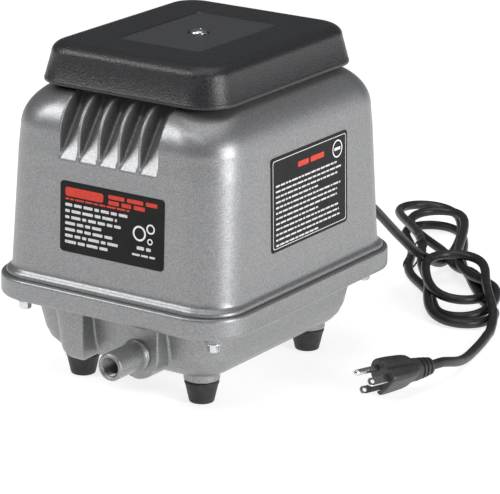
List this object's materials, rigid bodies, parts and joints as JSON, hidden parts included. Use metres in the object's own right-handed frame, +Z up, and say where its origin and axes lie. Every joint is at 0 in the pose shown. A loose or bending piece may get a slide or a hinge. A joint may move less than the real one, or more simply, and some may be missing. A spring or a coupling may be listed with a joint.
{
  "type": "electromagnetic air pump",
  "caption": "Box-shaped electromagnetic diaphragm air pump with a cast housing on rubber feet, a screwed-down filter cover, a threaded outlet and a corded plug.",
  "frame": {"origin": "on the floor, under the middle of the pump's box without its lead (the outlet counts, the mains lead, strain relief and plug don't)", "axes": "+Z up, -Y out of the outlet and the front label, +X out of the instruction label"},
  "size_m": [0.2831, 0.5619, 0.2529],
  "materials": {
    "silver_paint": "satin metallic",
    "black_plastic": "fine grained",
    "black_rubber": "matte",
    "gray_foam": "open cell",
    "label_film": "satin printed",
    "chrome_steel": "polished",
    "zinc_steel": "satin",
    "copper_wire": "enamelled wire",
    "core_steel": "laminated",
    "cast_aluminium": "as cast",
    "cream_plastic": "satin",
    "cord_jacket": "satin vinyl",
    "nickel_plate": "bright plated"
  },
  "bodies": {
    "root": {"upper_housing": "silver_paint", "housing_gasket": "black_rubber", "base_casting": "silver_paint", "outlet_nozzle": "silver_paint", "tank_plate": "cast_aluminium", "front_label": "label_film", "side_label": "label_film", "filter_foam": "gray_foam", "motor_frame": "cast_aluminium", "stator_core_upper": "core_steel", "stator_core_lower": "core_steel", "stator_coil_upper": "copper_wire", "stator_coil_lower": "copper_wire", "terminal_block": "cream_plastic", "cord_gland": "black_rubber", "cord_lead": "cord_jacket", "cord_tail": "cord_jacket", "cord_hank": "cord_jacket", "twist_tie": "black_plastic", "plug_body": "cord_jacket", "plug_blade_left": "nickel_plate", "plug_blade_right": "nickel_plate", "plug_ground_pin": "nickel_plate", "foot_rear_right": "black_rubber", "foot_screw_rear_right": "zinc_steel", "flange_bolt_rear_right": "chrome_steel", "motor_mount_rear_right": "black_rubber", "foot_rear_left": "black_rubber", "foot_screw_rear_left": "zinc_steel", "flange_bolt_rear_left": "chrome_steel", "motor_mount_rear_left": "black_rubber", "foot_front_left": "black_rubber", "foot_screw_front_left": "zinc_steel", "flange_bolt_front_left": "chrome_steel", "motor_mount_front_left": "black_rubber", "foot_front_right": "black_rubber", "foot_screw_front_right": "zinc_steel", "flange_bolt_front_right": "chrome_steel", "motor_mount_front_right": "black_rubber", "diaphragm_front": "black_rubber", "pump_head_front": "cast_aluminium", "head_cover_front": "cast_aluminium", "air_pipe_front": "black_rubber", "diaphragm_rear": "black_rubber", "pump_head_rear": "cast_aluminium", "head_cover_rear": "cast_aluminium", "air_pipe_rear": "black_rubber"},
    "filter_cover": {"filter_cover": "black_plastic"},
    "screw_washer": {"cover_screw_washer": "chrome_steel"},
    "cover_screw": {"cover_screw": "chrome_steel"},
    "armature": {"armature_shaft": "cast_aluminium", "magnet_front": "core_steel", "magnet_rear": "core_steel", "diaphragm_plate_front": "cast_aluminium", "diaphragm_plate_rear": "cast_aluminium"},
    "intake_valve_front": {"intake_flap_front": "black_rubber"},
    "exhaust_valve_front": {"exhaust_flap_front": "black_rubber"},
    "intake_valve_rear": {"intake_flap_rear": "black_rubber"},
    "exhaust_valve_rear": {"exhaust_flap_rear": "black_rubber"}
  },
  "joints": [
    {"name": "cover_lift", "type": "slide", "parent": "root", "child": "filter_cover", "axis": [0, 0, 1], "range_m": [0, 0.06]},
    {"name": "cover_screw_travel", "type": "slide", "parent": "filter_cover", "child": "screw_washer", "axis": [0, 0, 1], "range_m": [0, 0.0048]},
    {"name": "cover_screw_turn", "type": "hinge", "parent": "screw_washer", "child": "cover_screw", "pos_m": [0, 0.011, 0.25], "axis": [0, 0, 1], "range_deg": [0, 2161]},
    {"name": "armature_stroke", "type": "slide", "parent": "root", "child": "armature", "axis": [0, 1, 0], "range_m": [-0.0025, 0.0025], "stiffness_N_per_m": 2000, "deforming": ["diaphragm_front", "diaphragm_rear"]},
    {"name": "intake_flap_front_swing", "type": "hinge", "parent": "root", "child": "intake_valve_front", "pos_m": [0.016, -0.0707, 0.145], "axis": [1, 0, 0], "range_deg": [0, 10], "stiffness_Nm_per_rad": 0.01},
    {"name": "exhaust_flap_front_swing", "type": "hinge", "parent": "root", "child": "exhaust_valve_front", "pos_m": [-0.016, -0.0746, 0.145], "axis": [-1, 0, 0], "range_deg": [0, 10], "stiffness_Nm_per_rad": 0.01},
    {"name": "intake_flap_rear_swing", "type": "hinge", "parent": "root", "child": "intake_valve_rear", "pos_m": [-0.016, 0.0927, 0.145], "axis": [-1, 0, 0], "range_deg": [0, 10], "stiffness_Nm_per_rad": 0.01},
    {"name": "exhaust_flap_rear_swing", "type": "hinge", "parent": "root", "child": "exhaust_valve_rear", "pos_m": [0.016, 0.0966, 0.145], "axis": [1, 0, 0], "range_deg": [0, 10], "stiffness_Nm_per_rad": 0.01}
  ],
  "couplings": [
    {"joint": "cover_screw_turn", "follows": "cover_screw_travel", "rad_per_m": 7854}
  ]
}
